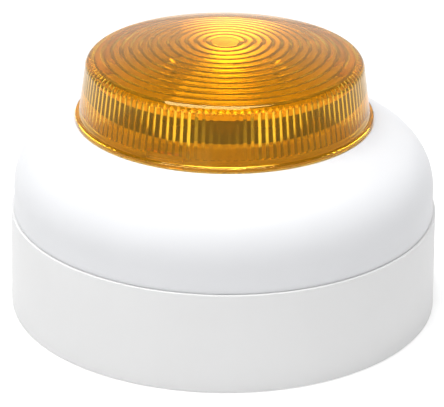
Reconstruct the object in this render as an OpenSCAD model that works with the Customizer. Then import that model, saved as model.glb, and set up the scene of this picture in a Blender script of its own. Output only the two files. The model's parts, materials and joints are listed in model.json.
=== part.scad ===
/* [Base] */
// Radius of the base where it meets the wall
base_r = 50; // [49.5:0.5:52]
// Radius of the base at its top edge
base_top_r = 49.4; // [49.2:0.1:49.6]
// Height of the base
base_h = 23.4; // [23.4:0.1:23.6]
// Radius of the inside of the base wall
base_in_r = 46.9; // [46.8:0.05:47]
// Thickness of the base floor
floor_t = 2.5; // [2:0.1:2.5]
// Small chamfer round the top edge of the base
base_chamfer = 0.4; // [0.2:0.1:0.6]
// Radius of the cable entry in the middle of the floor
rear_entry_r = 10; // [6:0.5:12]
// Distance between the two fixing slots
fixing_spacing = 60; // [58:1:64]
// Half the width of a fixing slot
fixing_slot_r = 2.25; // [1.8:0.05:2.5]
// Length of a fixing slot from end to end
fixing_slot_len = 9; // [7:0.5:10]

/* [Side entry] */
// Radius of the cable entry through the side wall
side_entry_r = 8.1; // [6:0.1:8.1]
// Height of the side entry above the wall
side_entry_z = 12.2; // [12:0.1:12.3]

/* [Head] */
// Radius of the lower rim of the head
head_rim_r = 49.1; // [48.9:0.05:49.4]
// Radius of the head where its shoulder starts
head_side_r = 48.75; // [48.6:0.05:48.9]
// Height at which the shoulder starts
shoulder_z = 28.9; // [28.7:0.1:29.1]
// Radius of the shoulder's curve
shoulder_arc_r = 13.95; // [13.8:0.05:14.1]
// Wall thickness of the head
head_wall = 2.2; // [1.8:0.1:2.3]
// Gap between the base and the head at the seam
seam_gap = 0.3; // [0.3:0.05:0.4]
// Height of the flat that the lens stands over
seat_z = 45.3; // [45.2:0.05:45.35]

/* [Lens] */
// Radius of the lip round the foot of the lens
lens_lip_r = 34.35; // [34.1:0.05:34.4]
// Radius of the lens wall just above its lip
lens_foot_r = 33.5; // [33.4:0.05:33.7]
// Height of the underside of the lens
lens_z = 45.67; // [45.65:0.01:45.8]
// Height of the crown of the lens
lens_top_z = 63.9; // [63.5:0.1:64.5]
// Thickness of the lens wall
lens_wall = 1.9; // [1.7:0.1:2]
// Number of rings moulded under the crown of the lens
lens_rings = 12; // [6:1:12]
// Distance from one ring to the next
ring_pitch = 2.1; // [1.8:0.1:2.1]

/* [Contacts] */
// Distance of the contact pins from the middle
pin_ring_r = 31.5; // [31:0.1:32]
// Distance of the terminal screws from the middle
screw_ring_r = 24; // [23.8:0.1:24.2]
// Radius of a terminal screw's shank
terminal_shank_r = 1.95; // [1.5:0.05:1.95]

/* [Hidden] */
$fn = 72;

// Fits and small gaps
eps = 0.01;
screw_gap = 0.1;
move_gap = 0.3;

// The side entry: flat pad inside the wall, round flat face outside it, and the plug
pad_half = 11.5;
pad_y = 45.2;
face_y = 48;
face_r = 9.9;
plug_head_r = 9.4;
plug_head_t = 1.2;
plug_tip_y = 42.2;
washer_t = 0.6;

// The base's inside
boss_h = 2.5;
carrier_z = floor_t + boss_h;
carrier_t = 2;
carrier_in_r = 17;
carrier_out_r = 25;
carrier_screw_r = 1.35;
carrier_screw_ring_r = 21;
pedestal_top = 9;
pedestal_half = 5;
strip_t = 0.7;
strip_top = pedestal_top + strip_t;
strip_half = 3;
clamp_half = 3.5;
clamp_t = 1.2;
clamp_z = strip_top + 0.4;
terminal_head_r = 3.2;
terminal_head_h = 2.2;
terminal_head_z = clamp_z + clamp_t + 0.05;
pedestals = [45, 135, 225, 315];

// The bayonet between base and head: three hooks on the head pass under three lugs in the base
hook_angles = [18, 138, 258];
hook_width = 24;
hook_in_r = 44.1;
hook_out_r = 45.2;
hook_lug_r = base_in_r - move_gap;
hook_z = 15.5;
hook_lug_h = 2.2;
lug_in_r = hook_out_r + move_gap;
lug_z = hook_z + hook_lug_h + move_gap;
lug_top = 20.6;
stop_width = 2.5;

// The head's shell
head_z = base_h + seam_gap;
spigot_z = 21;
spigot_in_r = 44.3;
spigot_out_r = base_in_r - 0.4;
rim_h = 0.9;
flare_h = shoulder_z - head_z - rim_h;
flare_in = head_rim_r - head_side_r;
flare_r = (flare_h * flare_h + flare_in * flare_in) / (2 * flare_in);
flare_angle = asin(flare_h / flare_r);
shoulder_cx = head_side_r - shoulder_arc_r;
crown_cz = -18.9;
crown_r = shoulder_arc_r + norm([shoulder_cx, shoulder_z - crown_cz]);
crown_start = atan2(shoulder_z - crown_cz, shoulder_cx);
seat_r = lens_lip_r + move_gap;
plate_z = seat_z - head_wall;
collar_out_r = 29.8;
collar_in_r = 27.8;
collar_top = 49.5;
gasket_r = 0.8;
lens_gasket_r = 0.65;
lens_gasket_ring_r = 32.6;
boss_ring_r = 39.5;
boss_r = 2.75;
boss_top = 39.8;
boss_angles = [30, 150, 270];
slot_half = 12;
slot_h = 1.2;
slot_heights = [31.9, 33.9, 35.9];

// The bayonet between head and lens
lens_lug_angles = [231, 351, 111];
lens_lug_width = 14;
lens_lug_r = 30.9;
lens_lug_z = 47.9;
lens_lug_top = 49.3;
lens_stop_start = 3;
lens_stop_width = 3;
tab_start = 7;
tab_width = 16;
tab_in_r = collar_out_r + move_gap;
tab_z = 46;
tab_top = lens_lug_z - move_gap;

// The boards and what they carry
cover_r = 43.9;
cover_t = 2;
cover_top = spigot_z + cover_t;
board_t = 1.6;
main_board_z = 26.4;
main_top = main_board_z + board_t;
main_board_r = 36;
small_screw_r = 1.0;
small_head_r = 2.2;
small_head_h = 1.6;
board_screw_ring_r = 31;
board_screw_angles = [90, 210, 330];
pin_r = 2;
pin_z = 17;
dip_x = 0;
dip_y = -14;
dip_size = [17.4, 9.8];
dip_z = 22.1;
dip_pitch = 2.54;
dip_levers = 6;
lever_size = [1.2, 1.6];
lever_travel = 1.8;
lever_out = 0.8;
lever_in = 0.9;
trimmer_x = 18;
trimmer_y = -14;
trimmer_half = 3.5;
trimmer_z = 22.6;
rotor_r = 2.3;
rotor_out = 1.1;
rotor_in = 0.8;
capacitor_r = 5;
capacitor_len = 25;
cup_r = 20.5;
cup_in_r = 19;
cup_floor = 1.2;
cup_top = 35.6;
ledge_r = 16.6;
piezo_z = 31;
piezo_r = 18.9;
piezo_t = 0.3;
ceramic_r = 12.5;
ceramic_t = 0.25;
clamp_ring_t = 1.3;
mouth_half = 7;
mouth_z = 32.8;
duct_wall = 0.9;
duct_end_half = 13;
duct_end_y = 47;
strobe_board_z = 41;
strobe_board_r = 33;
strobe_top = strobe_board_z + board_t;
strobe_screw_ring_r = 30.5;
tube_z = 54;
tube_r = 2.2;
tube_half = 12;
electrode_len = 2.5;
electrode_x = tube_half + electrode_len / 2;
electrode_pin_r = 0.5;
reflector_r = 26;
reflector_rim = 0.7;
reflector_top = 55.7;
reflector_floor = 46.3;
reflector_t = 1.1;
reflector_hub_r = 5;

// The lens's own curves
lens_lip_h = 0.8;
lens_edge_r = 2;
lens_edge_cx = 29.93;
lens_wall_tilt = 7.8;
dome_r = 113.2;
dome_cz = lens_top_z - dome_r;
lens_edge_cz = dome_cz + sqrt(pow(dome_r - lens_edge_r, 2) - pow(lens_edge_cx, 2));
dome_start = acos(lens_edge_cx / (dome_r - lens_edge_r));
dome_t = 1.8;
ring_first_r = 4.25;
ring_depth = 0.2;

// Points on an arc, from one angle to another
function arc(cx, cz, r, from, to, steps) =
    [for (i = [0 : steps]) let (a = from + (to - from) * i / steps) [cx + r * cos(a), cz + r * sin(a)]];

// Half outline of the head from its shoulder to where the crown has a given radius, set in by inset
function dome_outline(inset, end_r) = concat(
    arc(shoulder_cx, shoulder_z, shoulder_arc_r - inset, 0, crown_start, 16),
    arc(0, crown_cz, crown_r - inset, crown_start + 0.5, acos(end_r / (crown_r - inset)), 4)
);

// Radius at which the inside of the crown meets the underside of the top plate
function plate_r() = sqrt(pow(crown_r - head_wall, 2) - pow(plate_z - crown_cz, 2));

// Height of the underside of the lens's crown at a radius
function lens_inside(r) = dome_cz + sqrt(pow(dome_r - dome_t, 2) - r * r);

function reversed(points) = [for (i = [len(points) - 1 : -1 : 0]) points[i]];

// Part of a ring between two radii, two heights and two angles
module ring_sector(in_r, out_r, low, high, from, width) {
    rotate([0, 0, from])
        rotate_extrude(angle = width)
            translate([in_r, low])
                square([out_r - in_r, high - low]);
}

// Cylinder from one height to another
module post(r, low, high) {
    translate([0, 0, low])
        cylinder(r = r, h = high - low);
}

// Ring with a square section
module ring(in_r, out_r, low, high) {
    difference() {
        post(out_r, low, high);
        post(in_r, low - 1, high + 1);
    }
}

// Children set at a distance from the middle at each angle
module around(angles, distance) {
    for (a = angles)
        rotate([0, 0, a])
            translate([distance, 0, 0])
                children();
}

// Pan head screw that points down, with its head standing on seat, and a cross in the head
module screw(shank_r, head_r, head_h, seat, tip) {
    difference() {
        union() {
            post(shank_r, tip, seat + eps);
            post(head_r, seat, seat + head_h);
        }
        for (a = [0, 90])
            rotate([0, 0, a])
                translate([-head_r * 0.6, -0.3, seat + head_h * 0.45])
                    cube([head_r * 1.2, 0.6, head_h]);
    }
}

// The same screw, pointing up
module screw_up(shank_r, head_r, head_h, seat, tip) {
    translate([0, 0, seat])
        mirror([0, 0, 1])
            screw(shank_r, head_r, head_h, 0, seat - tip);
}

// Slot through the floor that lets the base be turned true on its two fixing screws
module fixing_slot() {
    half = fixing_slot_len / 2 - fixing_slot_r;
    for (side = [-1, 1])
        translate([side * half, 0, 0])
            post(fixing_slot_r, -1, floor_t + 1);
    translate([-half, -fixing_slot_r, -1])
        cube([2 * half, 2 * fixing_slot_r, floor_t + 2]);
}

// Cylinder along +Y through the side entry's middle
module side_drill(r, from, to) {
    translate([0, from, side_entry_z])
        rotate([-90, 0, 0])
            cylinder(r = r, h = to - from);
}

module base_body() {
    rotate_extrude()
        polygon([
            [0, 0],
            [base_r, 0],
            [base_top_r, base_h - base_chamfer],
            [base_top_r - base_chamfer, base_h],
            [base_in_r, base_h],
            [base_in_r, floor_t],
            [0, floor_t]
        ]);
    for (a = hook_angles) {
        ring_sector(lug_in_r, base_in_r + 1, lug_z, lug_top, a, hook_width);
        ring_sector(lug_in_r, base_in_r + 1, hook_z, lug_top, a - stop_width - 1, stop_width);
    }
    translate([-pad_half, pad_y, floor_t - eps])
        cube([2 * pad_half, face_y - pad_y - 0.3, lug_top - floor_t]);
    around([90, 270], carrier_screw_ring_r)
        post(3.5, floor_t - eps, carrier_z);
}

module base_shell() {
    color("whitesmoke")
        difference() {
            base_body();
            post(rear_entry_r, -1, floor_t + 1);
            for (side = [-1, 1])
                translate([side * fixing_spacing / 2, 0, 0])
                    fixing_slot();
            side_drill(face_r, face_y, base_r + 1);
            side_drill(side_entry_r, pad_y - 1, base_r + 1);
            around([90, 270], carrier_screw_ring_r)
                post(carrier_screw_r + screw_gap, 1, carrier_z + 1);
        }
}

module entry_washer() {
    color("gainsboro")
        difference() {
            side_drill(plug_head_r, face_y, face_y + washer_t);
            side_drill(side_entry_r, face_y - 1, face_y + 2);
        }
}

module entry_plug() {
    color("whitesmoke")
        difference() {
            union() {
                side_drill(plug_head_r, face_y + washer_t, face_y + washer_t + plug_head_t);
                side_drill(side_entry_r - screw_gap, plug_tip_y, face_y + washer_t + eps);
            }
            side_drill(side_entry_r - 2, plug_tip_y - 1, face_y);
            translate([-5, face_y + washer_t + 0.5, side_entry_z - 0.8])
                cube([10, 2, 1.6]);
        }
}

module contact_carrier() {
    color("gainsboro")
        difference() {
            union() {
                ring(carrier_in_r, carrier_out_r, carrier_z, carrier_z + carrier_t);
                for (a = pedestals)
                    rotate([0, 0, a])
                        translate([19, -pedestal_half, floor_t])
                            cube([17, 2 * pedestal_half, pedestal_top - floor_t]);
            }
            around(pedestals, screw_ring_r)
                post(terminal_shank_r + screw_gap, floor_t + 1, pedestal_top + 1);
            around([90, 270], carrier_screw_ring_r)
                post(carrier_screw_r + 2 * screw_gap, carrier_z - 1, carrier_z + carrier_t + 1);
        }
}

module carrier_screws() {
    color("silver")
        around([90, 270], carrier_screw_ring_r)
            screw(carrier_screw_r, 2.8, 1.6, carrier_z + carrier_t, 1.2);
}

// Side outline of one contact strip: flat foot, upright and springy tongue
module strip_outline() {
    polygon([
        [20.5, pedestal_top],
        [35.6, pedestal_top],
        [35.6, 15.4],
        [29.6, 16.7],
        [29.5, 16.1],
        [35, 14.9],
        [35, strip_top],
        [20.5, strip_top]
    ]);
}

module contact_strips() {
    color("goldenrod")
        for (a = pedestals)
            rotate([0, 0, a])
                difference() {
                    rotate([90, 0, 0])
                        translate([0, 0, -strip_half])
                            linear_extrude(2 * strip_half)
                                strip_outline();
                    translate([screw_ring_r, 0, 0])
                        post(terminal_shank_r + screw_gap, pedestal_top - 1, strip_top + 1);
                }
}

module terminal_clamp(i) {
    color("silver")
        around([pedestals[i]], screw_ring_r)
            difference() {
                translate([-clamp_half, -clamp_half, clamp_z])
                    cube([2 * clamp_half, 2 * clamp_half, clamp_t]);
                post(terminal_shank_r + screw_gap, clamp_z - 1, clamp_z + clamp_t + 1);
            }
}

module terminal_screw(i) {
    color("silver")
        around([pedestals[i]], screw_ring_r)
            screw(terminal_shank_r, terminal_head_r, terminal_head_h, terminal_head_z, floor_t + 2);
}

module terminal_clamp_1() { terminal_clamp(0); }
module terminal_clamp_2() { terminal_clamp(1); }
module terminal_clamp_3() { terminal_clamp(2); }
module terminal_clamp_4() { terminal_clamp(3); }
module terminal_screw_1() { terminal_screw(0); }
module terminal_screw_2() { terminal_screw(1); }
module terminal_screw_3() { terminal_screw(2); }
module terminal_screw_4() { terminal_screw(3); }

// Half section of the head's shell, with the spigot below and the lens collar above
module head_section() {
    polygon(concat(
        [[spigot_out_r, head_z], [head_rim_r, head_z], [head_rim_r, head_z + rim_h]],
        arc(head_side_r + flare_r, shoulder_z, flare_r,
            180 + flare_angle * 0.75, 180 + flare_angle * 0.25, 2),
        dome_outline(0, seat_r),
        [[seat_r, seat_z], [collar_out_r, seat_z], [collar_out_r, collar_top]],
        [[collar_in_r, collar_top], [collar_in_r, plate_z]],
        reversed(dome_outline(head_wall, plate_r())),
        [[spigot_in_r, 25], [spigot_in_r, spigot_z], [spigot_out_r, spigot_z]]
    ));
}

module head_body() {
    rotate_extrude()
        head_section();
    for (a = hook_angles) {
        ring_sector(hook_in_r, hook_out_r, hook_z, spigot_z + 1, a, hook_width);
        ring_sector(hook_in_r + 0.5, hook_lug_r, hook_z, hook_z + hook_lug_h, a, hook_width);
    }
    for (a = lens_lug_angles) {
        ring_sector(collar_out_r - 1, lens_lug_r, lens_lug_z, lens_lug_top, a, lens_lug_width);
        ring_sector(collar_out_r - 0.6, lens_lug_r - 0.1, tab_z, lens_lug_z + 0.6,
            a + lens_stop_start, lens_stop_width);
    }
    around(boss_angles, boss_ring_r)
        post(boss_r, cover_top, boss_top);
    around(board_screw_angles, strobe_screw_ring_r)
        post(2.6, strobe_top, plate_z + eps);
}

module head_shell() {
    color("white")
        difference() {
            head_body();
            ring(lens_gasket_ring_r - 0.7, lens_gasket_ring_r + 0.7, seat_z - 1.3, seat_z + 1);
            ring(spigot_out_r - 1.55, spigot_out_r + 1, spigot_z + 0.5, spigot_z + 2.2);
            around(boss_angles, boss_ring_r)
                post(small_screw_r + screw_gap, cover_top - 1, cover_top + 9);
            around(board_screw_angles, strobe_screw_ring_r)
                post(small_screw_r + screw_gap, strobe_top - 1, plate_z + 1.6);
            for (z = slot_heights)
                translate([-slot_half, 38, z - slot_h / 2])
                    cube([2 * slot_half, 14, slot_h]);
        }
}

module head_gasket() {
    color("gainsboro")
        rotate_extrude()
            translate([spigot_out_r - 1.5 + gasket_r, spigot_z + 1.35])
                circle(r = gasket_r);
}

module lens_gasket() {
    color("gainsboro")
        rotate_extrude()
            translate([lens_gasket_ring_r, seat_z - 1.3 + lens_gasket_r + 0.03])
                circle(r = lens_gasket_r);
}

module rear_cover() {
    color("gainsboro")
        difference() {
            union() {
                post(cover_r, spigot_z, cover_top);
                around(board_screw_angles, board_screw_ring_r)
                    post(3, cover_top - eps, main_board_z);
            }
            around(board_screw_angles, board_screw_ring_r)
                post(small_screw_r + screw_gap, spigot_z + 1, main_board_z + 1);
            around(boss_angles, boss_ring_r)
                post(small_screw_r + 2 * screw_gap, spigot_z - 1, cover_top + 1);
            around(pedestals, pin_ring_r)
                post(pin_r + screw_gap, spigot_z - 1, cover_top + 1);
            translate([dip_x - dip_size[0] / 2 - 0.5, dip_y - dip_size[1] / 2 - 0.5, spigot_z - 1])
                cube([dip_size[0] + 1, dip_size[1] + 1, cover_t + 2]);
            translate([trimmer_x, trimmer_y, 0])
                post(trimmer_half * 1.5, spigot_z - 1, cover_top + 1);
        }
}

module cover_screws() {
    color("silver")
        around(boss_angles, boss_ring_r)
            screw_up(small_screw_r, small_head_r, small_head_h, spigot_z, spigot_z + 10);
}

module main_board() {
    color("darkgreen")
        difference() {
            post(main_board_r, main_board_z, main_top);
            around(board_screw_angles, board_screw_ring_r)
                post(small_screw_r + 2 * screw_gap, main_board_z - 1, main_top + 1);
        }
}

module main_board_screws() {
    color("silver")
        around(board_screw_angles, board_screw_ring_r)
            screw(small_screw_r, small_head_r, small_head_h, main_top, spigot_z + 1.2);
}

module head_contact_pins() {
    color("goldenrod")
        around(pedestals, pin_ring_r)
            post(pin_r, pin_z, main_board_z);
}

module dip_switch() {
    color("firebrick")
        difference() {
            translate([dip_x - dip_size[0] / 2, dip_y - dip_size[1] / 2, dip_z])
                cube([dip_size[0], dip_size[1], main_board_z - dip_z]);
            for (i = [0 : dip_levers - 1])
                translate([
                    lever_x(i) - lever_size[0] / 2 - screw_gap,
                    dip_y - (lever_size[1] + lever_travel) / 2 - screw_gap,
                    dip_z - 1
                ])
                    cube([
                        lever_size[0] + 2 * screw_gap,
                        lever_size[1] + lever_travel + 2 * screw_gap,
                        lever_in + screw_gap + 1
                    ]);
        }
}

function lever_x(i) = dip_x + (i - (dip_levers - 1) / 2) * dip_pitch;

// One lever, at the end of its slot nearer the edge of the head
module dip_lever(i) {
    color("white")
        translate([
            lever_x(i) - lever_size[0] / 2,
            dip_y - (lever_size[1] + lever_travel) / 2,
            dip_z - lever_out
        ])
            cube([lever_size[0], lever_size[1], lever_out + lever_in]);
}

module dip_lever_1() { dip_lever(0); }
module dip_lever_2() { dip_lever(1); }
module dip_lever_3() { dip_lever(2); }
module dip_lever_4() { dip_lever(3); }
module dip_lever_5() { dip_lever(4); }
module dip_lever_6() { dip_lever(5); }

module volume_trimmer() {
    color("royalblue")
        translate([trimmer_x, trimmer_y, 0])
            difference() {
                translate([-trimmer_half, -trimmer_half, trimmer_z])
                    cube([2 * trimmer_half, 2 * trimmer_half, main_board_z - trimmer_z]);
                post(rotor_r + 0.08, trimmer_z - 1, trimmer_z + rotor_in + screw_gap);
            }
}

module trimmer_rotor() {
    color("white")
        translate([trimmer_x, trimmer_y, 0])
            difference() {
                post(rotor_r, trimmer_z - rotor_out, trimmer_z + rotor_in);
                translate([-rotor_r * 0.8, -0.35, trimmer_z - rotor_out - 1])
                    cube([rotor_r * 1.6, 0.7, 1.7]);
            }
}

// Chips on the underside of the main board: [x, y, width, depth, height]
chips = [
    [0, 10, 10, 10, 1.2],
    [-16, -8, 5, 6, 1.6],
    [15, 4, 5, 6, 1.6],
    [-14, 8, 6, 4, 2]
];

module controller_chips() {
    color("black")
        for (c = chips)
            translate([c[0] - c[2] / 2, c[1] - c[3] / 2, main_board_z - c[4]])
                cube([c[2], c[3], c[4]]);
}

// Five pins in a black body that join the two boards
module board_link() {
    color("black")
        translate([-17, -25, main_top]) {
            translate([-6.5, -1.3, 0])
                cube([13, 2.6, 2.5]);
            for (i = [-2 : 2])
                translate([i * 2.54 - 0.32, -0.32, 2.5 - eps])
                    cube([0.64, 0.64, strobe_board_z - main_top - 2.5 + eps]);
        }
}

module flash_capacitor() {
    color("midnightblue")
        translate([-29.5, 1.5, main_top + capacitor_r + 0.2])
            rotate([90, 0, 0]) {
                translate([0, 0, -capacitor_len / 2])
                    cylinder(r = capacitor_r, h = capacitor_len);
                for (side = [-1, 1])
                    translate([side * 2.5, 0, capacitor_len / 2 - eps])
                        cylinder(r = 0.4, h = 2);
            }
}

module flash_transformer() {
    color("gold")
        translate([28, 2, main_top]) {
            translate([-5.5, -6, 0])
                cube([11, 12, 2]);
            post(4, 2 - eps, 8 + eps);
            translate([-5.5, -6, 8])
                cube([11, 12, 2]);
        }
}

module trigger_coil() {
    color("saddlebrown")
        translate([17, -25.5, main_top])
            cylinder(r = 3.6, h = 9);
}

module sounder_cup() {
    color("black")
        difference() {
            union() {
                ring(cup_in_r, cup_r, main_top, cup_top);
                post(cup_r - eps, main_top, main_top + cup_floor);
                ring(ledge_r, cup_in_r + eps, main_top, piezo_z);
            }
            translate([-mouth_half, cup_in_r - 3, mouth_z])
                cube([2 * mouth_half, 6, cup_top]);
            for (x = [-8, 0])
                translate([x, 0, 0])
                    post(0.7, main_top - 1, main_top + cup_floor + 1);
        }
}

module piezo_contacts() {
    color("goldenrod")
        for (x = [-8, 0])
            translate([x, 0, 0])
                post(0.5, main_top, piezo_z);
}

module piezo_plate() {
    color("goldenrod")
        post(piezo_r, piezo_z, piezo_z + piezo_t);
}

module piezo_ceramic() {
    color("whitesmoke")
        post(ceramic_r, piezo_z + piezo_t, piezo_z + piezo_t + ceramic_t);
}

module piezo_clamp_ring() {
    color("gray")
        ring(16.8, piezo_r, piezo_z + piezo_t, piezo_z + piezo_t + clamp_ring_t);
}

module sounder_cap() {
    color("black") {
        post(cup_r, cup_top, cup_top + 1.4);
        difference() {
            ring(17.4, cup_in_r - screw_gap, cup_top - 0.8, cup_top + eps);
            translate([-mouth_half, 0, cup_top - 2])
                cube([2 * mouth_half, cup_r, 2]);
        }
    }
}

// Plan of the horn that leads the sound from the cup to the slots in the rear of the head
module duct_plan(wall) {
    polygon([
        [-mouth_half - wall, cup_r - 6],
        [mouth_half + wall, cup_r - 6],
        [duct_end_half + wall, duct_end_y],
        [-duct_end_half - wall, duct_end_y]
    ]);
}

// Solid that fills the inside of the head, with a small gap all round
module head_filling() {
    rotate_extrude()
        polygon(concat(
            [[0, cover_top], [spigot_in_r, cover_top], [spigot_in_r, 25]],
            dome_outline(head_wall + move_gap, plate_r()),
            [[0, plate_z]]
        ));
}

module horn_duct() {
    color("dimgray")
        intersection() {
            difference() {
                translate([0, 0, mouth_z - duct_wall])
                    linear_extrude(cup_top - mouth_z + 2 * duct_wall)
                        duct_plan(duct_wall);
                translate([0, 0, mouth_z])
                    linear_extrude(cup_top - mouth_z)
                        duct_plan(0);
                post(cup_r + screw_gap, mouth_z - 2, cup_top + 3);
            }
            head_filling();
        }
}

module strobe_board() {
    color("darkgreen")
        difference() {
            post(strobe_board_r, strobe_board_z, strobe_top);
            around(board_screw_angles, strobe_screw_ring_r)
                post(small_screw_r + 2 * screw_gap, strobe_board_z - 1, strobe_top + 1);
        }
}

module strobe_board_screws() {
    color("silver")
        around(board_screw_angles, strobe_screw_ring_r)
            screw_up(small_screw_r, small_head_r, small_head_h, strobe_board_z, plate_z + 1.4);
}

// Polished conical dish under the tube, standing on a hub, with a hole for each electrode's pin
module reflector() {
    color("silver")
        difference() {
            rotate_extrude()
                polygon([
                    [0, strobe_top], [reflector_hub_r, strobe_top],
                    [reflector_hub_r, reflector_floor - reflector_t],
                    [reflector_r, reflector_top - reflector_t],
                    [reflector_r + reflector_rim, reflector_top - reflector_t],
                    [reflector_r + reflector_rim, reflector_top],
                    [reflector_r, reflector_top],
                    [reflector_hub_r, reflector_floor], [0, reflector_floor]
                ]);
            around([0, 180], electrode_x)
                post(2 * electrode_pin_r, strobe_top, tube_z);
        }
}

module xenon_tube() {
    color("lightcyan")
        translate([-tube_half, 0, tube_z])
            rotate([0, 90, 0])
                cylinder(r = tube_r, h = 2 * tube_half);
}

module tube_electrodes() {
    color("silver")
        for (side = [0, 1])
            mirror([side, 0, 0]) {
                translate([tube_half, 0, tube_z])
                    rotate([0, 90, 0])
                        cylinder(r = tube_r, h = electrode_len);
                translate([electrode_x, 0, 0])
                    post(electrode_pin_r, strobe_top, tube_z);
            }
}

// Half section of the lens, with rings under its crown
module lens_section() {
    wall_foot = [lens_foot_r, lens_z + lens_lip_h];
    corner_z = lens_edge_cz - 0.2;
    corner_r = lens_foot_r - lens_wall - (corner_z - wall_foot[1]) * tan(lens_wall_tilt);
    grooves = [for (i = [0 : lens_rings]) ring_first_r + i * ring_pitch];
    polygon(concat(
        [[lens_foot_r - lens_wall, lens_z], [lens_lip_r, lens_z]],
        [[lens_lip_r, lens_z + lens_lip_h], wall_foot],
        arc(lens_edge_cx, lens_edge_cz, lens_edge_r, lens_wall_tilt, dome_start, 6),
        arc(0, dome_cz, dome_r, dome_start + 0.8, 90, 18),
        [[0, lens_inside(0)]],
        [for (i = [0 : lens_rings - 1]) each [
            [grooves[i], lens_inside(grooves[i])],
            [grooves[i] + ring_pitch / 2, lens_inside(grooves[i] + ring_pitch / 2) - ring_depth]
        ]],
        [[grooves[lens_rings], lens_inside(grooves[lens_rings])]],
        [[corner_r, corner_z]]
    ));
}

module lens() {
    color("orange", 0.8) {
        rotate_extrude()
            lens_section();
        for (a = lens_lug_angles)
            ring_sector(tab_in_r, lens_foot_r - lens_wall + 0.6, tab_z, tab_top, a + tab_start, tab_width);
    }
}

base_shell();
contact_carrier();
carrier_screws();
contact_strips();
entry_plug();
entry_washer();
terminal_clamp_1();
terminal_clamp_2();
terminal_clamp_3();
terminal_clamp_4();
terminal_screw_1();
terminal_screw_2();
terminal_screw_3();
terminal_screw_4();
head_shell();
head_gasket();
lens_gasket();
rear_cover();
cover_screws();
main_board();
main_board_screws();
head_contact_pins();
dip_switch();
dip_lever_1();
dip_lever_2();
dip_lever_3();
dip_lever_4();
dip_lever_5();
dip_lever_6();
volume_trimmer();
trimmer_rotor();
controller_chips();
board_link();
flash_capacitor();
flash_transformer();
trigger_coil();
sounder_cup();
piezo_contacts();
piezo_plate();
piezo_ceramic();
piezo_clamp_ring();
sounder_cap();
horn_duct();
strobe_board();
strobe_board_screws();
reflector();
xenon_tube();
tube_electrodes();
lens();
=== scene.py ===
import json
import math

import bmesh
import bpy
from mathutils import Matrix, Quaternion, Vector


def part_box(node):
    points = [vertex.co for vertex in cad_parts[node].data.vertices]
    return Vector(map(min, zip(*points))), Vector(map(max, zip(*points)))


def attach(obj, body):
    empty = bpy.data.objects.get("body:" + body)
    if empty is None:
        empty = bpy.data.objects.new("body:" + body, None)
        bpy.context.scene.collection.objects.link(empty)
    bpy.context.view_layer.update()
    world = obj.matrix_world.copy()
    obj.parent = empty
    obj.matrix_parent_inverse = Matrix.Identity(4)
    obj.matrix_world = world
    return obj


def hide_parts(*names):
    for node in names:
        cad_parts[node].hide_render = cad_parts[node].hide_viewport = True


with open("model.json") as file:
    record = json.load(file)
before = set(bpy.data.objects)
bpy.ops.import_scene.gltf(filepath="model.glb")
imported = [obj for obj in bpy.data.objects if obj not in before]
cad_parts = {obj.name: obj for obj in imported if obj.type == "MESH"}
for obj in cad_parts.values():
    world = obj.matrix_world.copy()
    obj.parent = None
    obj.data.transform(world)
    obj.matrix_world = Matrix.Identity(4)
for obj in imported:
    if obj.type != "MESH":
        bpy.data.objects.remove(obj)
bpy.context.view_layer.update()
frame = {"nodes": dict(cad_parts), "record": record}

MM = 0.001
TURN = 2 * math.pi


# ---------------------------------------------------------------- outlines, in millimetres

def arc(cx, cz, r, start, end, steps):
    """Points on an arc, with its angles in degrees."""
    points = []
    for i in range(steps + 1):
        a = math.radians(start + (end - start) * i / steps)
        points.append((cx + r * math.cos(a), cz + r * math.sin(a)))
    return points


def polar(r, angle):
    """Point at a radius and an angle in degrees."""
    a = math.radians(angle)
    return r * math.cos(a), r * math.sin(a)


def rounded(corners, steps=4):
    """Outline through (r, z, radius) corners, with each corner rounded to its radius."""
    points = []
    count = len(corners)
    for i, (x, z, radius) in enumerate(corners):
        here = Vector((x, z))
        if radius == 0:
            points.append((x, z))
            continue
        back = (Vector(corners[i - 1][:2]) - here).normalized()
        ahead = (Vector(corners[(i + 1) % count][:2]) - here).normalized()
        half = back.angle(ahead) / 2
        reach = radius / math.tan(half)
        centre = here + (back + ahead).normalized() * (radius / math.sin(half))
        first = here + back * reach - centre
        last = here + ahead * reach - centre
        for k in range(steps + 1):
            spoke = first.lerp(last, k / steps).normalized() * radius
            points.append(tuple(centre + spoke))
    return points


# ---------------------------------------------------------------- mesh making

MERGE_DISTANCE = 1e-7
SHARP_EDGE = 1
EDGE_BEVEL = 0.15


def lathe(name, outline, segments, wave=None):
    """Closed solid turned about Z from a closed outline. wave(k, r, angle) may change a point's radius."""
    verts, faces = [], []
    count = len(outline)
    for s in range(segments):
        angle = TURN * s / segments
        for k, (r, z) in enumerate(outline):
            if wave:
                r = wave(k, r, angle)
            verts.append((r * MM * math.cos(angle), r * MM * math.sin(angle), z * MM))
    for s in range(segments):
        here, there = s * count, (s + 1) % segments * count
        for k in range(count):
            after = (k + 1) % count
            faces.append((here + k, here + after, there + after, there + k))
    mesh = bpy.data.meshes.new(name)
    mesh.from_pydata(verts, [], faces)
    clean(mesh)
    return link(name, mesh)


def clean(mesh):
    """Merges points that meet, drops faces with no area and turns the normals outward."""
    bm = bmesh.new()
    bm.from_mesh(mesh)
    bmesh.ops.remove_doubles(bm, verts=bm.verts, dist=MERGE_DISTANCE)
    bmesh.ops.dissolve_degenerate(bm, edges=bm.edges, dist=MERGE_DISTANCE)
    bmesh.ops.recalc_face_normals(bm, faces=bm.faces)
    bm.to_mesh(mesh)
    bm.free()


def link(name, mesh):
    """Puts a mesh into the scene as an object."""
    obj = bpy.data.objects.new(name, mesh)
    bpy.context.scene.collection.objects.link(obj)
    return obj


def sector(in_r, out_r, low, high, start, width):
    """Part of a ring with a square section."""
    return swept(((in_r, low), (out_r, low), (out_r, high), (in_r, high)), start, width)


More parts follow.
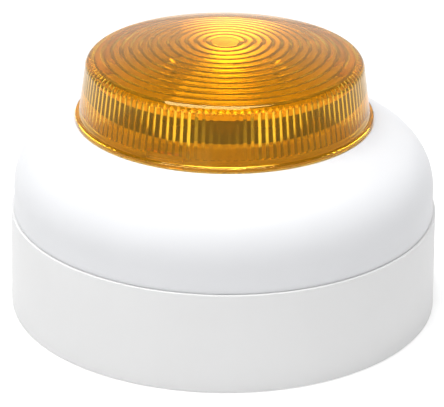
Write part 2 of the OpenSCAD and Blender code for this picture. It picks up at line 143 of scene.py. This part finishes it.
def swept(section, start, width):
    """Section of (r, z) points swept about Z through part of a turn, with slightly rounded edges."""
    steps = max(6, round(width))
    rim = [math.radians(start + width * i / steps) for i in range(steps + 1)]
    bm = bmesh.new()
    loops = []
    for r, z in section:
        loops.append([bm.verts.new((r * MM * math.cos(a), r * MM * math.sin(a), z * MM)) for a in rim])
    for k in range(len(loops)):
        for i in range(steps):
            one, two = loops[k], loops[(k + 1) % len(loops)]
            bm.faces.new((one[i], one[i + 1], two[i + 1], two[i]))
    bm.faces.new([loop[0] for loop in loops])
    bm.faces.new([loop[-1] for loop in loops])
    bmesh.ops.recalc_face_normals(bm, faces=bm.faces)
    sharp = [e for e in bm.edges if e.calc_face_angle(0) > SHARP_EDGE]
    bmesh.ops.bevel(bm, geom=sharp, offset=EDGE_BEVEL * MM, segments=2, affect="EDGES", profile=0.5)
    mesh = bpy.data.meshes.new("sector")
    bm.to_mesh(mesh)
    bm.free()
    return link("sector", mesh)


def block(low, high):
    """Box between two corners, used as a cutter or joined to another shape."""
    bm = bmesh.new()
    bmesh.ops.create_cube(bm, size=1)
    for v in bm.verts:
        v.co = Vector([(lo + (c + 0.5) * (hi - lo)) * MM for lo, hi, c in zip(low, high, v.co)])
    mesh = bpy.data.meshes.new("block")
    bm.to_mesh(mesh)
    bm.free()
    return link("block", mesh)


def drill(point, axis, radius, depth, segments=64):
    """Cylinder from a point along an axis, used as a cutter or joined to another shape."""
    bm = bmesh.new()
    r = radius * MM
    bmesh.ops.create_cone(bm, cap_ends=True, segments=segments, radius1=r, radius2=r, depth=depth * MM)
    turn = Vector((0, 0, 1)).rotation_difference(Vector(axis)).to_matrix().to_4x4()
    bmesh.ops.translate(bm, verts=bm.verts, vec=(0, 0, depth / 2 * MM))
    bmesh.ops.transform(bm, verts=bm.verts, matrix=turn)
    bmesh.ops.translate(bm, verts=bm.verts, vec=Vector(point) * MM)
    mesh = bpy.data.meshes.new("drill")
    bm.to_mesh(mesh)
    bm.free()
    return link("drill", mesh)


def combine(obj, others, operation):
    """Joins others to obj or cuts them from it, and removes them."""
    for other in others:
        modifier = obj.modifiers.new("combine", "BOOLEAN")
        modifier.operation = operation
        modifier.solver = "EXACT"
        modifier.object = other
    depsgraph = bpy.context.evaluated_depsgraph_get()
    mesh = bpy.data.meshes.new_from_object(obj.evaluated_get(depsgraph))
    obj.modifiers.clear()
    obj.data = mesh
    for other in others:
        bpy.data.objects.remove(other)
    clean(mesh)
    return obj


def smooth(obj, angle=30):
    """Smooth faces, with edges sharper than angle kept sharp."""
    for face in obj.data.polygons:
        face.use_smooth = True
    obj.data.set_sharp_from_angle(angle=math.radians(angle))
    return obj


# ---------------------------------------------------------------- materials

def material(name):
    """Empty material with a Principled shader, and that shader."""
    made = bpy.data.materials.new(name)
    made.use_nodes = True
    return made, made.node_tree, made.node_tree.nodes["Principled BSDF"]


def noise(tree, scale, detail=4, roughness=0.55):
    """Noise laid out in the object's own space."""
    place = tree.nodes.new("ShaderNodeTexCoord")
    made = tree.nodes.new("ShaderNodeTexNoise")
    made.inputs["Scale"].default_value = scale
    made.inputs["Detail"].default_value = detail
    made.inputs["Roughness"].default_value = roughness
    tree.links.new(place.outputs["Object"], made.inputs["Vector"])
    return made


def spread(tree, source, low, high):
    """Maps a texture's middle values to low..high."""
    made = tree.nodes.new("ShaderNodeMapRange")
    made.inputs["From Min"].default_value = 0.3
    made.inputs["From Max"].default_value = 0.7
    made.inputs["To Min"].default_value = low
    made.inputs["To Max"].default_value = high
    tree.links.new(source, made.inputs["Value"])
    return made.outputs["Result"]


def blend_colours(tree, source, one, two):
    """Colour ramp between two colours, driven by a texture."""
    ramp = tree.nodes.new("ShaderNodeValToRGB")
    ramp.color_ramp.elements[0].position = 0.35
    ramp.color_ramp.elements[1].position = 0.65
    ramp.color_ramp.elements[0].color = (*one, 1)
    ramp.color_ramp.elements[1].color = (*two, 1)
    tree.links.new(source, ramp.inputs["Fac"])
    return ramp.outputs["Color"]


def bump(tree, shader, source, depth):
    """Bump whose full height is depth millimetres."""
    made = tree.nodes.new("ShaderNodeBump")
    made.inputs["Strength"].default_value = 1.0
    made.inputs["Distance"].default_value = depth * MM
    tree.links.new(source, made.inputs["Height"])
    tree.links.new(made.outputs["Normal"], shader.inputs["Normal"])


def finish_surface(name, one, two, rough, patch=60, grain=2500, depth=0.01, metal=0.0):
    """Surface with patches of two close colours, uneven roughness and a fine grain."""
    made, tree, shader = material(name)
    patches = noise(tree, patch, 3)
    fine = noise(tree, grain, 5, 0.6)
    tree.links.new(blend_colours(tree, patches.outputs["Fac"], one, two), shader.inputs["Base Color"])
    tree.links.new(spread(tree, fine.outputs["Fac"], rough[0], rough[1]), shader.inputs["Roughness"])
    shader.inputs["Metallic"].default_value = metal
    bump(tree, shader, fine.outputs["Fac"], depth)
    return made


def amber_lens():
    """Clear amber plastic with a warm glossy skin, a faint painted amber glow though it is no lamp, and
    slow waves in it.
    """
    made, tree, shader = material("amber_polycarbonate")
    flow = noise(tree, 90, 2)
    fine = noise(tree, 900, 3)
    tint = blend_colours(tree, flow.outputs["Fac"], (0.99, 0.54, 0.03), (0.995, 0.57, 0.036))
    tree.links.new(tint, shader.inputs["Base Color"])
    tree.links.new(spread(tree, fine.outputs["Fac"], 0.02, 0.05), shader.inputs["Roughness"])
    shader.inputs["Transmission Weight"].default_value = 0.95
    shader.inputs["IOR"].default_value = 1.585
    shader.inputs["Specular Tint"].default_value = (1.0, 0.70, 0.24, 1)
    # painted glow: a faint amber emission makes the lens a little brighter, though the lens is no lamp
    shader.inputs["Emission Color"].default_value = (1.0, 0.50, 0.01, 1)
    shader.inputs["Emission Strength"].default_value = 0.02
    bump(tree, shader, flow.outputs["Fac"], 0.02)
    return made


def clear_glass():
    """Glass of the flash tube."""
    made, tree, shader = material("clear_glass")
    flow = noise(tree, 300, 2)
    tint = blend_colours(tree, flow.outputs["Fac"], (0.95, 0.98, 0.99), (0.99, 1, 1))
    tree.links.new(tint, shader.inputs["Base Color"])
    tree.links.new(spread(tree, flow.outputs["Fac"], 0.01, 0.03), shader.inputs["Roughness"])
    shader.inputs["Transmission Weight"].default_value = 1.0
    shader.inputs["IOR"].default_value = 1.47
    bump(tree, shader, flow.outputs["Fac"], 0.01)
    return made


def circuit_board():
    """Green solder mask with copper tracks under it."""
    made, tree, shader = material("solder_mask")
    place = tree.nodes.new("ShaderNodeTexCoord")
    tracks = tree.nodes.new("ShaderNodeTexVoronoi")
    tracks.distance = "MANHATTAN"
    tracks.feature = "DISTANCE_TO_EDGE"
    tracks.inputs["Scale"].default_value = 260
    tree.links.new(place.outputs["Object"], tracks.inputs["Vector"])
    ramp = tree.nodes.new("ShaderNodeValToRGB")
    ramp.color_ramp.elements[0].position = 0.06
    ramp.color_ramp.elements[1].position = 0.12
    ramp.color_ramp.elements[0].color = (0.05, 0.20, 0.08, 1)
    ramp.color_ramp.elements[1].color = (0.015, 0.085, 0.03, 1)
    tree.links.new(tracks.outputs["Distance"], ramp.inputs["Fac"])
    tree.links.new(ramp.outputs["Color"], shader.inputs["Base Color"])
    fine = noise(tree, 1500)
    tree.links.new(spread(tree, fine.outputs["Fac"], 0.25, 0.4), shader.inputs["Roughness"])
    bump(tree, shader, ramp.outputs["Color"], 0.03)
    return made


# slot: (one colour, the other, (least, most) roughness, what differs from the usual finish)
FINISHES = {
    "base_plastic": ((0.67, 0.67, 0.67), (0.68, 0.68, 0.68), (0.38, 0.50), {"depth": 0.0012}),
    # painted shade: head_plastic's grey is a little darker than base_plastic's, standing in for the shade
    # on the head's lower wall
    "head_plastic": (
        (0.645, 0.65, 0.665), (0.655, 0.66, 0.675), (0.38, 0.42),
        {"grain": 1500, "depth": 0.0002},
    ),
    "gasket_rubber": ((0.62, 0.62, 0.60), (0.66, 0.66, 0.64), (0.5, 0.65), {}),
    "inner_plastic": ((0.70, 0.70, 0.68), (0.73, 0.73, 0.71), (0.45, 0.6), {}),
    "screw_steel": ((0.62, 0.62, 0.63), (0.70, 0.70, 0.72), (0.38, 0.42), {"depth": 0.001, "metal": 1.0}),
    "contact_brass": (
        (0.70, 0.50, 0.20), (0.78, 0.58, 0.26), (0.38, 0.42),
        {"depth": 0.001, "metal": 1.0},
    ),
    "beacon_board": ((0.012, 0.07, 0.025), (0.02, 0.09, 0.035), (0.3, 0.45), {}),
    "switch_red": ((0.45, 0.03, 0.025), (0.52, 0.045, 0.035), (0.35, 0.5), {}),
    "switch_white": ((0.78, 0.78, 0.75), (0.82, 0.82, 0.80), (0.35, 0.5), {}),
    "trimmer_blue": ((0.03, 0.09, 0.40), (0.04, 0.12, 0.46), (0.35, 0.5), {}),
    "component_black": ((0.02, 0.02, 0.02), (0.035, 0.035, 0.035), (0.45, 0.65), {}),
    "capacitor_sleeve": ((0.02, 0.025, 0.07), (0.03, 0.035, 0.09), (0.25, 0.4), {}),
    "transformer_tape": ((0.62, 0.48, 0.06), (0.70, 0.55, 0.09), (0.3, 0.45), {}),
    "coil_wrap": ((0.20, 0.06, 0.015), (0.28, 0.09, 0.02), (0.25, 0.4), {}),
    "sounder_plastic": ((0.03, 0.03, 0.03), (0.045, 0.045, 0.045), (0.45, 0.6), {}),
    "piezo_ceramic": ((0.72, 0.71, 0.66), (0.78, 0.77, 0.73), (0.4, 0.55), {}),
    "reflector_metal": ((0.90, 0.90, 0.90), (0.93, 0.93, 0.93), (0.30, 0.40), {"metal": 1.0}),
    "electrode_metal": (
        (0.62, 0.62, 0.64), (0.70, 0.70, 0.72), (0.38, 0.42),
        {"depth": 0.001, "metal": 1.0},
    ),
}
MATERIALS = {
    "lens_amber": amber_lens(),
    "circuit_board": circuit_board(),
    "tube_glass": clear_glass(),
}
for finish_slot, (one_colour, other_colour, roughness, differences) in FINISHES.items():
    MATERIALS[finish_slot] = finish_surface(finish_slot, one_colour, other_colour, roughness, **differences)


def dress(obj, slot):
    """Gives obj the finish of one of the record's slots."""
    obj.data.materials.clear()
    obj.data.materials.append(MATERIALS[slot])


# ---------------------------------------------------------------- sizes, in millimetres and degrees

def top(node):
    """Height of a node's top, in millimetres."""
    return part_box(node)[1].z / MM


def foot(node):
    """Height of a node's foot, in millimetres."""
    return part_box(node)[0].z / MM


def radius(node):
    """Radius of a round node, in millimetres."""
    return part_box(node)[1].x / MM


UP = (0, 0, 1)
BACK = (0, 1, 0)
BODY_SEGMENTS = 256
ENTRY_SEGMENTS = 96
# gap between pieces that move past each other
MOVE_GAP = 0.3
# how far a joined piece reaches into the body, and a cutter past the face it cuts
SINK = 0.5
WELD = 0.6
CUT_PAST = 1

# base: wall and floor
BASE_R = radius("base_shell")
BASE_TOP_R = 49.5
BASE_H = top("base_shell")
BASE_IN_R = 46.9
FLOOR_T = 2.5

# base: cable entries and fixing slots
REAR_ENTRY_R = 10
SLOT_SPACING = 60
SLOT_R = 2.25
SLOT_LEN = 9
SIDE_ENTRY_R = 8.1
SIDE_ENTRY_Z = 12.2
SIDE_ENTRY_DEPTH = 6
PAD_HALF = 11.5
PAD_Y = 45.2
FACE_Y = 48
FACE_R = 9.9
FACE_BACK = 0.3
FACE_DEPTH = 4

# base: bosses under the contact carrier
CARRIER_Z = 5
CARRIER_SCREW_RING = 21
CARRIER_BOSS_R = 3.5
CARRIER_HOLE_R = 1.45
CARRIER_HOLE_Z = 1

# hooks that hold the head on the base
HOOK_ANGLES = (18, 138, 258)
HOOK_WIDTH = 24
HOOK_IN_R = 44.1
HOOK_OUT_R = 45.2
HOOK_Z = foot("head_shell")
HOOK_LUG_H = 2.2
LUG_TOP = 20.6
STOP_WIDTH = 2.5
STOP_GAP = 1

# head: rim, shoulder and crown
SEAM_GAP = 0.06
HEAD_Z = BASE_H + SEAM_GAP
HEAD_RIM_R = 48.9
HEAD_SIDE_R = 48.75
RIM_H = 0.9
SHOULDER_Z = 28.9
SHOULDER_R = 13.95
SHOULDER_CX = HEAD_SIDE_R - SHOULDER_R
CROWN_CZ = -18.9
CROWN_R = SHOULDER_R + math.hypot(SHOULDER_CX, SHOULDER_Z - CROWN_CZ)
CROWN_START = math.degrees(math.atan2(SHOULDER_Z - CROWN_CZ, SHOULDER_CX))
HEAD_WALL = 2.2
SHOULDER_STEPS = 28
CROWN_STEPS = 8
FLARE_STEPS = 8

# head: spigot inside the base, with its gasket groove
SPIGOT_Z = 21
SPIGOT_IN_R = 44.3
SPIGOT_OUT_R = BASE_IN_R - 0.4
SPIGOT_GROOVE_Z = SPIGOT_Z + 0.5
SPIGOT_GROOVE_TOP = SPIGOT_Z + 2.2
SPIGOT_GROOVE_IN_R = SPIGOT_OUT_R - 1.55
SPIGOT_INSIDE_Z = 25
HOOK_TOP = SPIGOT_Z + 0.4

# head: seat and collar of the lens
LENS_LIP_R = radius("lens")
SEAT_R = LENS_LIP_R + MOVE_GAP
SEAT_Z = 45.3
PLATE_Z = SEAT_Z - HEAD_WALL
COLLAR_OUT_R = 29.8
COLLAR_IN_R = 27.8
COLLAR_TOP = 49.5
LENS_GASKET_R = 32.6
LENS_GROOVE_HALF = 0.7
LENS_GROOVE_FLOOR = SEAT_Z - 1.3

# head: bosses for the rear cover's and the strobe board's screws
BOSS_ANGLES = (30, 150, 270)
BOSS_RING = 39.5
BOSS_Z = 23
BOSS_R = 2.75
BOSS_H = 16.8
SCREW_ANGLES = (90, 210, 330)
SCREW_RING = 30.5
SCREW_PAD_Z = 42.6
SCREW_PAD_R = 2.6
SCREW_PAD_H = 1
SCREW_HOLE_Z = 41
SCREW_HOLE_DEPTH = 2.7
PILOT_R = 1.1
PILOT_DEPTH = 9
PILOT_SEGMENTS = 32

# head: sound outlet at the back
SOUND_SLOTS = (31.9, 33.9, 35.9)
SOUND_SLOT_HALF = 12
SOUND_SLOT_H = 1.2
SOUND_SLOT_IN_Y = 38
SOUND_SLOT_OUT_Y = 52

# lens: lip, wall, edge and crown
LENS_Z = foot("lens")
LENS_TOP = top("lens")
LENS_LIP_H = 0.8
LENS_FOOT_R = 33.5
LENS_WALL = 1.9
LENS_TILT = 7.8
LENS_EDGE_R = 2.4
LENS_EDGE_CX = 29.57
DOME_R = 113.2
DOME_CZ = LENS_TOP - DOME_R
DOME_T = 1.8
LENS_EDGE_CZ = DOME_CZ + math.sqrt((DOME_R - LENS_EDGE_R) ** 2 - LENS_EDGE_CX ** 2)
DOME_START = math.degrees(math.acos(LENS_EDGE_CX / (DOME_R - LENS_EDGE_R)))
LENS_EDGE_STEPS = 10
LENS_CROWN_STEPS = 24

# lugs on the collar and tabs in the lens
LUG_ANGLES = (231, 351, 111)
LUG_WIDTH = 14
LUG_R = 30.9
LUG_Z = 47.9
LUG_HIGH = 49.3
LUG_STOP_START = 3
LUG_STOP_WIDTH = 3
TAB_START = 7
TAB_WIDTH = 16
TAB_Z = 46

# pip and rings under the crown, and ribs inside the wall
PIP_R = 3.1
PIP_SIDE = 0.2
RING_FIRST_R = 4.25
RING_PITCH = 2.1
RING_COUNT = 12
RING_DEPTH = 0.22
RING_STEPS = 8
RIB_COUNT = 120
RIB_DEPTH = 0.45
RIB_STEPS = 6
RIB_LOW = 47.4
RIB_HIGH = 57.6
RIB_FADE = 0.2


# ---------------------------------------------------------------- base

def base_additions():
    """Catches and stops for the head's hooks, pad behind the side entry, and bosses under the carrier."""
    added = []
    catch_in_r = HOOK_OUT_R + MOVE_GAP
    catch_out_r = BASE_IN_R + 1
    catch_z = HOOK_Z + HOOK_LUG_H + MOVE_GAP
    for a in HOOK_ANGLES:
        added.append(sector(catch_in_r, catch_out_r, catch_z, LUG_TOP, a, HOOK_WIDTH))
        stop = a - STOP_WIDTH - STOP_GAP
        added.append(sector(catch_in_r, catch_out_r, HOOK_Z, LUG_TOP, stop, STOP_WIDTH))
    pad_z = FLOOR_T - SINK
    added.append(block((-PAD_HALF, PAD_Y, pad_z), (PAD_HALF, FACE_Y - FACE_BACK, LUG_TOP)))
    for side in (-1, 1):
        boss = (0, side * CARRIER_SCREW_RING, pad_z)
        added.append(drill(boss, UP, CARRIER_BOSS_R, CARRIER_Z - FLOOR_T + SINK))
    return added


def base_cuts():
    """Rear entry, fixing slots, carrier screw holes and the stepped side entry."""
    below = -CUT_PAST
    through = FLOOR_T + 2 * CUT_PAST
    cuts = [drill((0, 0, below), UP, REAR_ENTRY_R, through, ENTRY_SEGMENTS)]
    half = SLOT_LEN / 2 - SLOT_R
    for side in (-1, 1):
        x = side * SLOT_SPACING / 2
        cuts.append(drill((x - half, 0, below), UP, SLOT_R, through))
        cuts.append(drill((x + half, 0, below), UP, SLOT_R, through))
        cuts.append(block((x - half, -SLOT_R, below), (x + half, SLOT_R, FLOOR_T + CUT_PAST)))
        hole = (0, side * CARRIER_SCREW_RING, CARRIER_HOLE_Z)
        cuts.append(drill(hole, UP, CARRIER_HOLE_R, CARRIER_Z))
    cuts.append(drill((0, FACE_Y, SIDE_ENTRY_Z), BACK, FACE_R, FACE_DEPTH, ENTRY_SEGMENTS))
    inner = (0, PAD_Y - CUT_PAST, SIDE_ENTRY_Z)
    cuts.append(drill(inner, BACK, SIDE_ENTRY_R, SIDE_ENTRY_DEPTH, ENTRY_SEGMENTS))
    return cuts


def make_base():
    """Deep round base, open towards the head."""
    outline = rounded([
        (0, 0, 0),
        (BASE_R, 0, 0.4),
        (BASE_TOP_R, BASE_H, 0.12),
        (BASE_IN_R, BASE_H, 0.3),
        (BASE_IN_R, FLOOR_T, 0.6),
        (0, FLOOR_T, 0),
    ])
    base = lathe("base_moulding", outline, BODY_SEGMENTS)
    combine(base, base_additions(), "UNION")
    combine(base, base_cuts(), "DIFFERENCE")
    smooth(base)
    dress(base, "base_plastic")
    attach(base, "base")
    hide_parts("base_shell")


# ---------------------------------------------------------------- head

def dome(inset, end_r):
    """The head's shoulder and crown, set in by inset, as far in as end_r."""
    end = math.degrees(math.acos(end_r / (CROWN_R - inset)))
    shoulder = arc(SHOULDER_CX, SHOULDER_Z, SHOULDER_R - inset, 0, CROWN_START, SHOULDER_STEPS)
    return shoulder + arc(0, CROWN_CZ, CROWN_R - inset, CROWN_START + 0.4, end, CROWN_STEPS)


def head_rim():
    """Spigot with its gasket groove, the ledge at the seam, and the slight flare above it."""
    flare_h = SHOULDER_Z - HEAD_Z - RIM_H
    flare_in = HEAD_RIM_R - HEAD_SIDE_R
    flare_r = (flare_h ** 2 + flare_in ** 2) / (2 * flare_in)
    flare_a = math.degrees(math.asin(flare_h / flare_r))
    rim = rounded([
        (SPIGOT_IN_R, SPIGOT_Z, 0.25),
        (SPIGOT_OUT_R, SPIGOT_Z, 0.3),
        (SPIGOT_OUT_R, SPIGOT_GROOVE_Z, 0),
        (SPIGOT_GROOVE_IN_R, SPIGOT_GROOVE_Z, 0),
        (SPIGOT_GROOVE_IN_R, SPIGOT_GROOVE_TOP, 0),
        (SPIGOT_OUT_R, SPIGOT_GROOVE_TOP, 0),
        (SPIGOT_OUT_R, HEAD_Z, 0.15),
        (HEAD_RIM_R, HEAD_Z, 0.12),
        (HEAD_RIM_R, HEAD_Z + RIM_H, 0),
    ])[1:-1]
    end = 180 + flare_a * 0.1
    return rim + arc(HEAD_SIDE_R + flare_r, SHOULDER_Z, flare_r, 180 + flare_a, end, FLARE_STEPS)


def head_collar():
    """Seat of the lens with its gasket groove, and the collar that the lens locks on."""
    return rounded([
        (SEAT_R, SEAT_Z, 0),
        (LENS_GASKET_R + LENS_GROOVE_HALF, SEAT_Z, 0),
        (LENS_GASKET_R + LENS_GROOVE_HALF, LENS_GROOVE_FLOOR, 0),
        (LENS_GASKET_R - LENS_GROOVE_HALF, LENS_GROOVE_FLOOR, 0),
        (LENS_GASKET_R - LENS_GROOVE_HALF, SEAT_Z, 0),
        (COLLAR_OUT_R, SEAT_Z, 0.25),
        (COLLAR_OUT_R, COLLAR_TOP, 0.4),
        (COLLAR_IN_R, COLLAR_TOP, 0.4),
        (COLLAR_IN_R, PLATE_Z, 0),
    ])


def head_additions():
    """Hooks for the base, lugs and stops for the lens, and bosses for the screws."""
    added = []
    lug_r = BASE_IN_R - MOVE_GAP
    hook = (
        (HOOK_IN_R, HOOK_Z),
        (lug_r, HOOK_Z),
        (lug_r, HOOK_Z + HOOK_LUG_H),
        (HOOK_OUT_R, HOOK_Z + HOOK_LUG_H),
        (HOOK_OUT_R, HOOK_TOP),
        (HOOK_IN_R, HOOK_TOP),
    )
    for a in HOOK_ANGLES:
        added.append(swept(hook, a, HOOK_WIDTH))
    stop_in_r = COLLAR_OUT_R - WELD
    stop_out_r = LUG_R - 0.1
    for a in LUG_ANGLES:
        added.append(sector(COLLAR_OUT_R - 1, LUG_R, LUG_Z, LUG_HIGH, a, LUG_WIDTH))
        stop = a + LUG_STOP_START
        added.append(sector(stop_in_r, stop_out_r, TAB_Z, LUG_Z + WELD, stop, LUG_STOP_WIDTH))
    for a in BOSS_ANGLES:
        added.append(drill((*polar(BOSS_RING, a), BOSS_Z), UP, BOSS_R, BOSS_H))
    for a in SCREW_ANGLES:
        added.append(drill((*polar(SCREW_RING, a), SCREW_PAD_Z), UP, SCREW_PAD_R, SCREW_PAD_H))
    return added


def head_cuts():
    """Sound slots at the back, and pilot holes in the bosses."""
    cuts = []
    for z in SOUND_SLOTS:
        low = (-SOUND_SLOT_HALF, SOUND_SLOT_IN_Y, z - SOUND_SLOT_H / 2)
        cuts.append(block(low, (SOUND_SLOT_HALF, SOUND_SLOT_OUT_Y, z + SOUND_SLOT_H / 2)))
    for a in BOSS_ANGLES:
        start = (*polar(BOSS_RING, a), BOSS_Z - CUT_PAST)
        cuts.append(drill(start, UP, PILOT_R, PILOT_DEPTH + CUT_PAST, PILOT_SEGMENTS))
    for a in SCREW_ANGLES:
        start = (*polar(SCREW_RING, a), SCREW_HOLE_Z)
        cuts.append(drill(start, UP, PILOT_R, SCREW_HOLE_DEPTH + CUT_PAST, PILOT_SEGMENTS))
    return cuts


def make_head():
    """Domed head, hollow, with the lens's collar on top."""
    plate_r = math.sqrt((CROWN_R - HEAD_WALL) ** 2 - (PLATE_Z - CROWN_CZ) ** 2)
    outside = head_rim() + dome(0, SEAT_R) + head_collar()
    inside = list(reversed(dome(HEAD_WALL, plate_r))) + [(SPIGOT_IN_R, SPIGOT_INSIDE_Z)]
    head = lathe("head_moulding", outside + inside, BODY_SEGMENTS)
    combine(head, head_additions(), "UNION")
    combine(head, head_cuts(), "DIFFERENCE")
    smooth(head)
    dress(head, "head_plastic")
    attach(head, "head")
    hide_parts("head_shell")


# ---------------------------------------------------------------- lens

def wall_r(z, inset=0.0):
    """Radius of the lens wall at a height, set in by inset."""
    foot_z = LENS_Z + LENS_LIP_H
    return LENS_FOOT_R - (z - foot_z) * math.tan(math.radians(LENS_TILT)) - inset


def under_crown(r):
    """Height of the underside of the crown at a radius."""
    return DOME_CZ + math.sqrt((DOME_R - DOME_T) ** 2 - r ** 2)


def lens_outside():
    """Lip, wall, rounded edge and crown, from the foot to the middle."""
    outside = rounded([
        (LENS_FOOT_R - LENS_WALL, LENS_Z, 0.2),
        (LENS_LIP_R, LENS_Z, 0.25),
        (LENS_LIP_R, LENS_Z + LENS_LIP_H, 0.25),
        (LENS_FOOT_R + 0.02, LENS_Z + LENS_LIP_H, 0.12),
        (LENS_EDGE_CX, LENS_EDGE_CZ, 0),
    ])[:-1]
    outside += arc(LENS_EDGE_CX, LENS_EDGE_CZ, LENS_EDGE_R, LENS_TILT, DOME_START, LENS_EDGE_STEPS)
    return outside + arc(0, DOME_CZ, DOME_R, DOME_START + 0.5, 90, LENS_CROWN_STEPS)


def lens_rings():
    """Underside of the crown, from the round pip in the middle out over the rings."""
    rings = [
        (0, under_crown(0)),
        (PIP_R, under_crown(PIP_R)),
        (PIP_R + PIP_SIDE, under_crown(PIP_R) - RING_DEPTH),
    ]
    for i in range(RING_COUNT * RING_STEPS + 1):
        r = RING_FIRST_R + i * RING_PITCH / RING_STEPS
        across = i / RING_STEPS % 1 * 2 - 1
        rings.append((r, under_crown(r) - RING_DEPTH * (1 - across ** 2)))
    return rings


def inner_wall(z):
    """Point on the inside of the wall at a height."""
    return wall_r(z, LENS_WALL), z


def make_lens():
    """Amber lens with ribs inside its wall, rings under its crown and tabs that lock it."""
    outside = lens_outside()
    rings = lens_rings()
    ribs = [inner_wall(RIB_HIGH - (RIB_HIGH - RIB_LOW) * i / RIB_STEPS) for i in range(RIB_STEPS + 1)]
    plain = [inner_wall(RIB_LOW - RIB_FADE), inner_wall(LENS_Z + 1)]
    outline = outside + rings + ribs + plain
    first = len(outside) + len(rings)
    rib_points = range(first, first + len(ribs))

    def wave(k, r, angle):
        """Zigzag of the ribs round the inside of the wall."""
        if k not in rib_points:
            return r
        phase = angle * RIB_COUNT / TURN % 1
        return r - RIB_DEPTH * abs(2 * phase - 1) + RIB_DEPTH / 2

    lens = lathe("lens_moulding", outline, RIB_COUNT * 4, wave)
    tabs = []
    tab_out_r = LENS_FOOT_R - LENS_WALL + WELD
    for a in LUG_ANGLES:
        start = a + TAB_START
        tabs.append(sector(COLLAR_OUT_R + MOVE_GAP, tab_out_r, TAB_Z, LUG_Z - MOVE_GAP, start, TAB_WIDTH))
    combine(lens, tabs, "UNION")
    smooth(lens, 20)
    dress(lens, "lens_amber")
    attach(lens, "lens_cover")
    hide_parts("lens")


# ---------------------------------------------------------------- CAD nodes that stay

def dress_nodes():
    """Gives every CAD node that stays the finish of its own slot."""
    slots = {row["node"]: row["material_slot"] for row in frame["record"]["subparts"]}
    for name, obj in frame["nodes"].items():
        if obj.hide_render:
            continue
        for place in obj.material_slots:
            place.material = MATERIALS[slots[name]]


# ---------------------------------------------------------------- stage, lights and camera

# name: (place, aim, (width, height), radiance), in metres
LIGHTS = {
    "overhead": ((-0.07, -0.05, 0.75), (-0.05, 0, 0.03), (0.54, 0.45), 12.0),
    "front_left": ((-0.50, -0.75, 0.45), (0, 0, 0.03), (0.9, 0.6), 0.5),
}
# surroundings: strength at the horizon and overhead, and where it fades from one to the other
LOW_SKY = 0.66
HIGH_SKY = 0.08
FADE_LOW = 0.30
FADE_HIGH = 0.72
SKY_COLOUR = (0.985, 0.99, 1.0, 1)
# floor: half its width in metres, its own light, and its gap below the part in millimetres
FLOOR_HALF = 6
FLOOR_GLOW = 0.38
FLOOR_GAP = 0.1
# camera: sensor and lens in millimetres, angles in degrees, distance and aim in metres
SENSOR_WIDTH = 36
FOCAL_LENGTH = 183.2
CAMERA_ELEVATION = 24.10
CAMERA_ROLL = 0.57
CAMERA_DISTANCE = 0.5297
CAMERA_AIM = (-0.00035, 0, 0.02301)


def make_stage():
    """Plain pale floor, a hair below the part's flat back."""
    bm = bmesh.new()
    bmesh.ops.create_grid(bm, x_segments=2, y_segments=2, size=FLOOR_HALF)
    mesh = bpy.data.meshes.new("floor")
    bm.to_mesh(mesh)
    bm.free()
    floor = link("floor", mesh)
    floor.location.z = -FLOOR_GAP * MM
    grey = (0.60, 0.60, 0.60)
    paler = (0.61, 0.61, 0.61)
    made = finish_surface("floor_card", grey, paler, (0.8, 0.9), patch=3, grain=200)
    shader = made.node_tree.nodes["Principled BSDF"]
    shader.inputs["Emission Color"].default_value = (1, 1, 1, 1)
    shader.inputs["Emission Strength"].default_value = FLOOR_GLOW
    floor.data.materials.append(made)


def make_sky():
    """Soft surroundings, bright near the horizon and dark overhead."""
    world = bpy.data.worlds.new("studio")
    bpy.context.scene.world = world
    world.use_nodes = True
    tree = world.node_tree
    sky = tree.nodes["Background"]
    direction = tree.nodes.new("ShaderNodeTexCoord")
    split = tree.nodes.new("ShaderNodeSeparateXYZ")
    fade = tree.nodes.new("ShaderNodeMapRange")
    fade.interpolation_type = "SMOOTHSTEP"
    fade.inputs["From Min"].default_value = FADE_LOW
    fade.inputs["From Max"].default_value = FADE_HIGH
    fade.inputs["To Min"].default_value = LOW_SKY
    fade.inputs["To Max"].default_value = HIGH_SKY
    tree.links.new(direction.outputs["Generated"], split.inputs["Vector"])
    tree.links.new(split.outputs["Z"], fade.inputs["Value"])
    tree.links.new(fade.outputs["Result"], sky.inputs["Strength"])
    sky.inputs["Color"].default_value = SKY_COLOUR


def make_lights():
    """Soft lamps that the camera doesn't see."""
    for name, (place, aim, size, radiance) in LIGHTS.items():
        data = bpy.data.lights.new(name, "AREA")
        data.shape = "RECTANGLE"
        data.size, data.size_y = size
        data.energy = radiance * math.pi * size[0] * size[1]
        lamp = bpy.data.objects.new(name, data)
        bpy.context.scene.collection.objects.link(lamp)
        lamp.location = place
        lamp.rotation_euler = (Vector(aim) - Vector(place)).to_track_quat("-Z", "Y").to_euler()
        lamp.visible_camera = False


def make_camera():
    """Long lens from the front and above, with plain colours."""
    data = bpy.data.cameras.new("camera")
    data.sensor_width = SENSOR_WIDTH
    data.lens = FOCAL_LENGTH
    data.clip_start = 0.01
    camera = bpy.data.objects.new("camera", data)
    bpy.context.scene.collection.objects.link(camera)
    elevation = math.radians(CAMERA_ELEVATION)
    back = Vector((0, -math.cos(elevation), math.sin(elevation)))
    camera.location = Vector(CAMERA_AIM) + back * CAMERA_DISTANCE
    camera.rotation_mode = "QUATERNION"
    level = (-back).to_track_quat("-Z", "Y")
    camera.rotation_quaternion = Quaternion(back, math.radians(CAMERA_ROLL)) @ level
    scene = bpy.context.scene
    scene.camera = camera
    scene.view_settings.view_transform = "Standard"
    scene.view_settings.look = "None"


make_stage()
make_sky()
make_lights()
make_camera()
make_base()
make_head()
make_lens()
dress_nodes()
